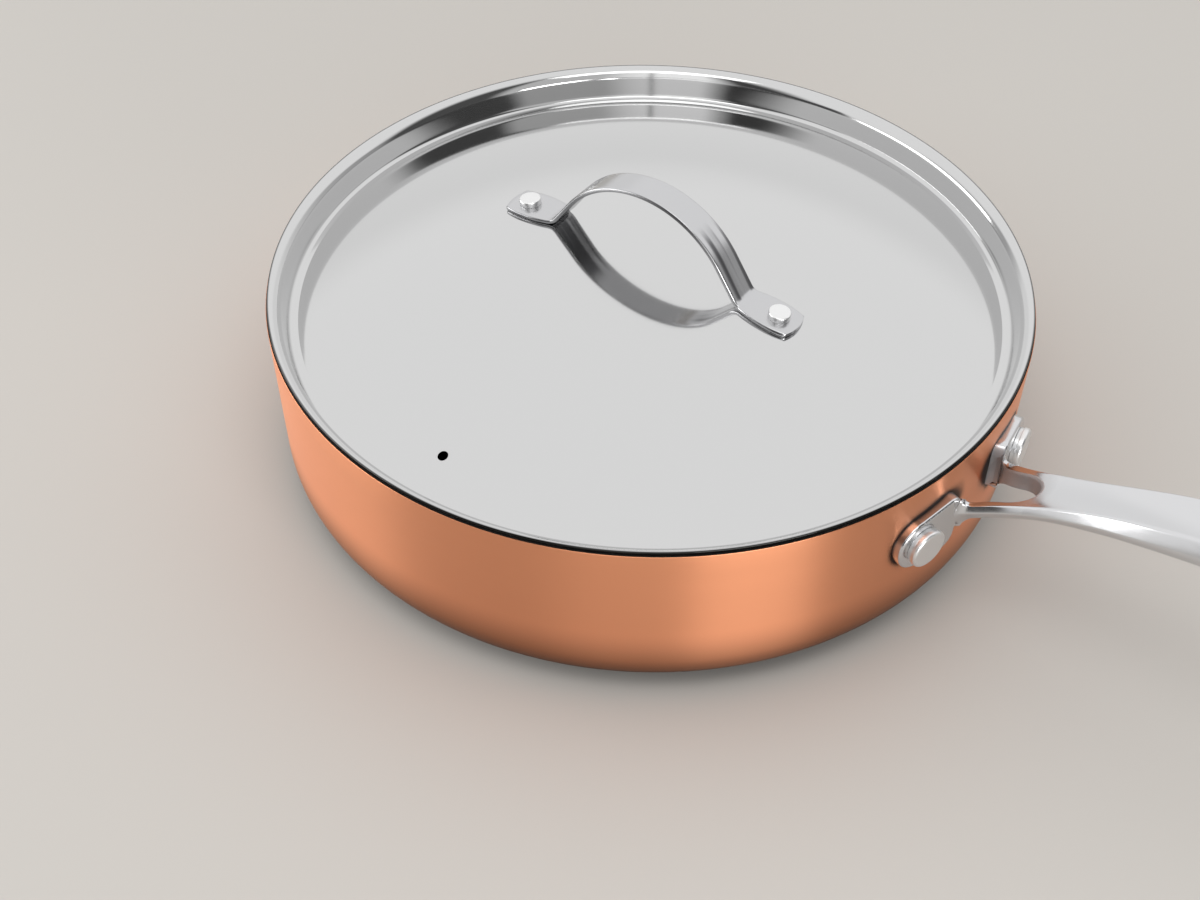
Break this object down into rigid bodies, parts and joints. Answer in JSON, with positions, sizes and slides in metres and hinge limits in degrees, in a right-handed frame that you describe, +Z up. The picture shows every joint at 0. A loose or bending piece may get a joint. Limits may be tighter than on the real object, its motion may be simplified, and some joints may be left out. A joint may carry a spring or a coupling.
{
  "type": "saute pan with lid",
  "caption": "Wide straight-sided saute pan of bonded metal plies with a riveted forked long handle and a flanged, domed metal lid that has a riveted strap handle.",
  "frame": {"origin": "middle of the pan's flat underside, on the surface it stands on", "axes": "+Z up along the pan's axis of turning, +X along the long handle, +Y to the left of someone who stands at the pan and looks along the handle"},
  "size_m": [0.4746, 0.2814, 0.112],
  "materials": {
    "copper": null,
    "core": "bare",
    "lining": "satin stainless steel",
    "handle_steel": "polished cast stainless steel",
    "rivet_steel": "satin stainless steel",
    "lid_steel": "mirror polished stainless steel",
    "strap_steel": "polished stainless steel"
  },
  "bodies": {
    "pan": {"copper_skin": "copper", "aluminium_core": "core", "steel_lining": "lining", "long_handle": "handle_steel", "pan_rivet_left": "rivet_steel", "pan_rivet_right": "rivet_steel"},
    "lid": {"lid_plate": "lid_steel", "lid_handle": "strap_steel", "lid_rivet_left": "rivet_steel", "lid_rivet_right": "rivet_steel"}
  },
  "joints": [
    {"name": "lid_lift", "type": "slide", "parent": "pan", "child": "lid", "axis": [0, 0, 1], "range_m": [0, 0.15]}
  ]
}
